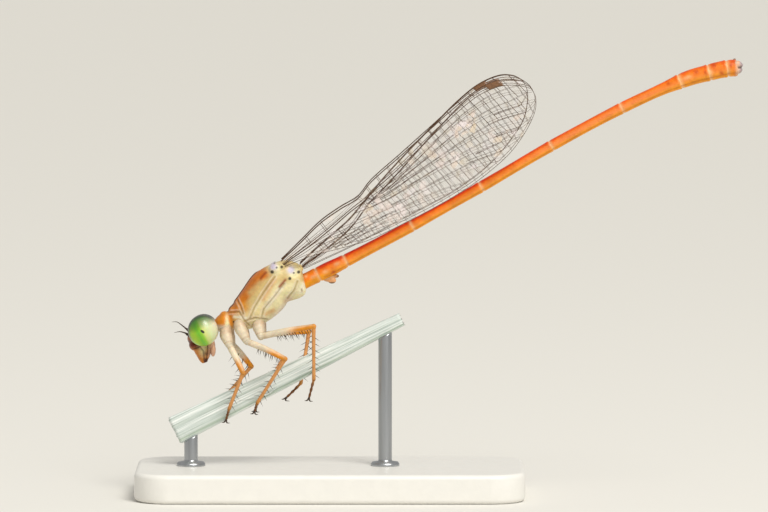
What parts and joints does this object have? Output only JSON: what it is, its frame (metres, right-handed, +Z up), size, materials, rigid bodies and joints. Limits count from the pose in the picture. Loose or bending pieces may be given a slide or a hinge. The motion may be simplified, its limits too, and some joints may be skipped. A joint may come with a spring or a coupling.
{
  "type": "damselfly",
  "caption": "Life-size male damselfly at rest, wings folded over a raised slender tail, gripping a slanting grass blade on a small flat display stand.",
  "frame": {"origin": "middle of the underside of the stand's base", "axes": "+X from the insect's head towards its tail, +Y towards its right side, +Z up"},
  "size_m": [0.0374, 0.011, 0.0269],
  "materials": {
    "eye": "satin gloss, green above fading to pale mint behind",
    "head": "satin cuticle, red-brown face and amber mouthparts",
    "antenna": "satin, dark olive brown",
    "thorax": "satin cuticle, orange back fading to cream sides",
    "leg": "satin cuticle, cream roots and orange shanks with dark spines",
    "foot": "satin, brown with dark claws",
    "abdomen": "glossy cuticle, red-orange back and orange flanks",
    "wing": "clear membrane with brown veins",
    "grass": "matt, pale grey-green fibres",
    "stand_base": "satin off-white lacquer",
    "stand_rod": "brushed"
  },
  "bodies": {
    "root": {"head": "head", "eye_left": "eye", "eye_right": "eye", "antenna_left": "antenna", "antenna_right": "antenna", "neck": "thorax", "prothorax": "thorax", "synthorax": "thorax", "abdomen_1": "abdomen", "abdomen_2": "abdomen", "abdomen_3": "abdomen", "abdomen_4": "abdomen", "abdomen_5": "abdomen", "abdomen_6": "abdomen", "abdomen_7": "abdomen", "abdomen_8": "abdomen", "abdomen_9": "abdomen", "abdomen_10": "abdomen", "wing_fore_left": "wing", "wing_fore_right": "wing", "wing_hind_left": "wing", "wing_hind_right": "wing", "leg_front_left_coxa": "leg", "leg_front_left_femur": "leg", "leg_front_left_tibia": "leg", "leg_front_left_tarsus": "foot", "leg_front_right_coxa": "leg", "leg_front_right_femur": "leg", "leg_front_right_tibia": "leg", "leg_front_right_tarsus": "foot", "leg_middle_left_coxa": "leg", "leg_middle_left_femur": "leg", "leg_middle_left_tibia": "leg", "leg_middle_left_tarsus": "foot", "leg_middle_right_coxa": "leg", "leg_middle_right_femur": "leg", "leg_middle_right_tibia": "leg", "leg_middle_right_tarsus": "foot", "leg_hind_left_coxa": "leg", "leg_hind_left_femur": "leg", "leg_hind_left_tibia": "leg", "leg_hind_left_tarsus": "foot", "leg_hind_right_coxa": "leg", "leg_hind_right_femur": "leg", "leg_hind_right_tibia": "leg", "leg_hind_right_tarsus": "foot", "perch_blade": "grass", "stand_base": "stand_base", "stand_rod_front": "stand_rod", "stand_rod_rear": "stand_rod"}
  },
  "joints": []
}
